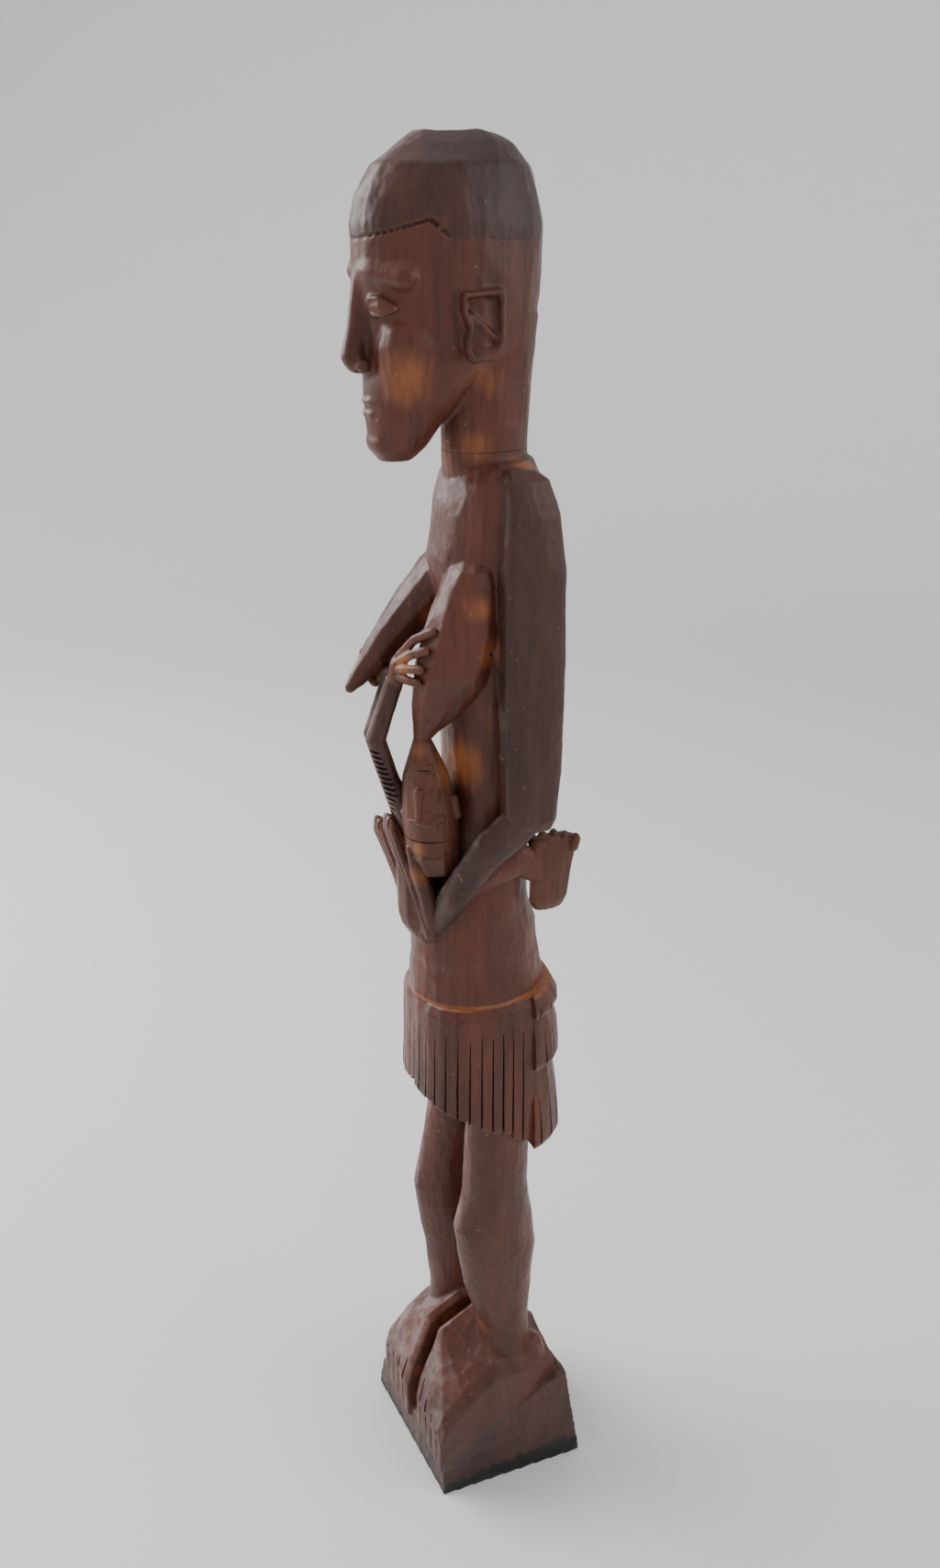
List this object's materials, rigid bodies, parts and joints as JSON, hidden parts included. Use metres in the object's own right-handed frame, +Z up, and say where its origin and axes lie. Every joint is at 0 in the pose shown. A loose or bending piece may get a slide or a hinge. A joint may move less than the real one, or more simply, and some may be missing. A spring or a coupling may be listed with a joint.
{
  "type": "carved standing figure",
  "caption": "Free-standing carved wooden figure of a mother nursing a child, with a strip skirt, on a tapered plinth of the same log.",
  "frame": {"origin": "centre of the plinth's underside, the face it stands on", "axes": "+Z up, the figure faces -Y, the figure's left side is +X"},
  "size_m": [0.108, 0.1225, 0.8],
  "materials": {
    "red_wood": "dark red-brown tropical hardwood, hand-carved and rubbed to a satin polish, fine vertical pores",
    "dark_wood": "the same wood stained brown-black and rubbed, worn back to red-brown on the edges",
    "pale_wood": "the same wood where fresh cuts and recesses stay orange-brown, satin"
  },
  "bodies": {
    "root": {"plinth": "dark_wood", "left_foot": "red_wood", "right_foot": "red_wood", "left_leg": "red_wood", "right_leg": "red_wood", "skirt_front": "red_wood", "skirt_tier_upper": "red_wood", "skirt_tier_middle": "red_wood", "skirt_tier_lower": "red_wood", "waistband": "red_wood", "belly": "red_wood", "torso": "red_wood", "left_breast": "red_wood", "right_breast": "red_wood", "left_upper_arm": "dark_wood", "right_upper_arm": "dark_wood", "left_forearm": "dark_wood", "right_forearm": "dark_wood", "left_hand": "red_wood", "right_hand": "red_wood", "neck": "red_wood", "head": "red_wood", "hair_cap": "dark_wood", "left_ear": "red_wood", "right_ear": "red_wood", "child_head": "pale_wood", "child_body": "pale_wood", "child_left_arm": "dark_wood", "child_right_arm": "dark_wood", "child_left_hand": "pale_wood", "child_right_hand": "pale_wood", "child_left_leg": "red_wood", "child_right_leg": "red_wood", "child_left_foot": "pale_wood", "child_right_foot": "pale_wood"}
  },
  "joints": []
}
